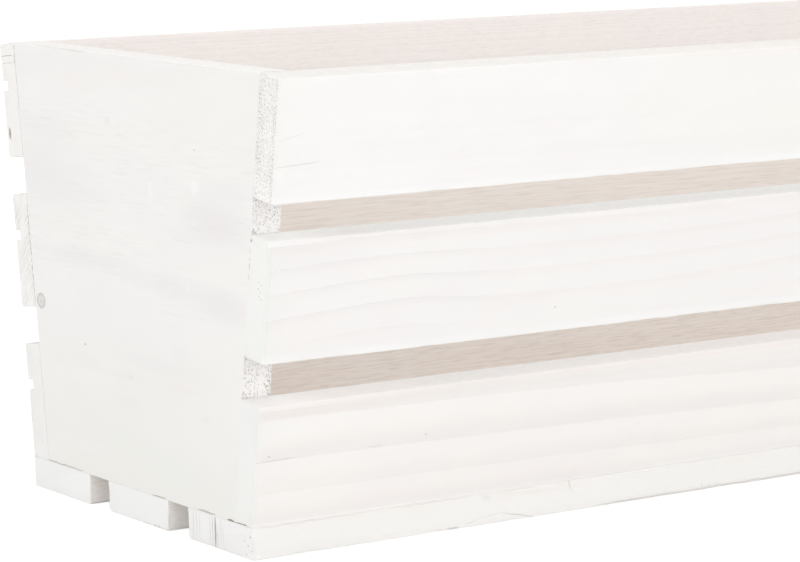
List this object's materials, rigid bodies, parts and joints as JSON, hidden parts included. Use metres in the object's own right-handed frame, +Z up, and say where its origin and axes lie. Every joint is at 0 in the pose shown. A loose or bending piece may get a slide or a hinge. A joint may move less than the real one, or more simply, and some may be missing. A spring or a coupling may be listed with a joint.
{
  "type": "wooden balcony planter",
  "caption": "Long open-topped slatted softwood planter box whose front and back walls lean outwards, standing on slats with drainage gaps.",
  "frame": {"origin": "middle of the footprint, on the ground under the middle bottom slat", "axes": "+X along the planter, -Y towards the plain front slats, +Y towards the grooved back slats, +Z up"},
  "size_m": [0.8, 0.2746, 0.2342],
  "materials": {
    "end_board_wood": "thin white wash over planed softwood",
    "front_slat_wood": "thin white wash over planed softwood",
    "back_slat_wood": "thin white wash over planed softwood",
    "bottom_slat_wood": "thin white wash over planed softwood",
    "nail_metal": "headless steel nail, washed over"
  },
  "bodies": {
    "root": {"end_board_left": "end_board_wood", "end_board_right": "end_board_wood", "front_slat_low": "front_slat_wood", "front_slat_middle": "front_slat_wood", "front_slat_high": "front_slat_wood", "back_slat_low": "back_slat_wood", "back_slat_middle": "back_slat_wood", "back_slat_high": "back_slat_wood", "bottom_slat_front": "bottom_slat_wood", "bottom_slat_middle": "bottom_slat_wood", "bottom_slat_back": "bottom_slat_wood", "front_nails_low": "nail_metal", "front_nails_middle": "nail_metal", "front_nails_high": "nail_metal", "back_nails_low": "nail_metal", "back_nails_middle": "nail_metal", "back_nails_high": "nail_metal", "bottom_nails_front": "nail_metal", "bottom_nails_middle": "nail_metal", "bottom_nails_back": "nail_metal"}
  },
  "joints": []
}
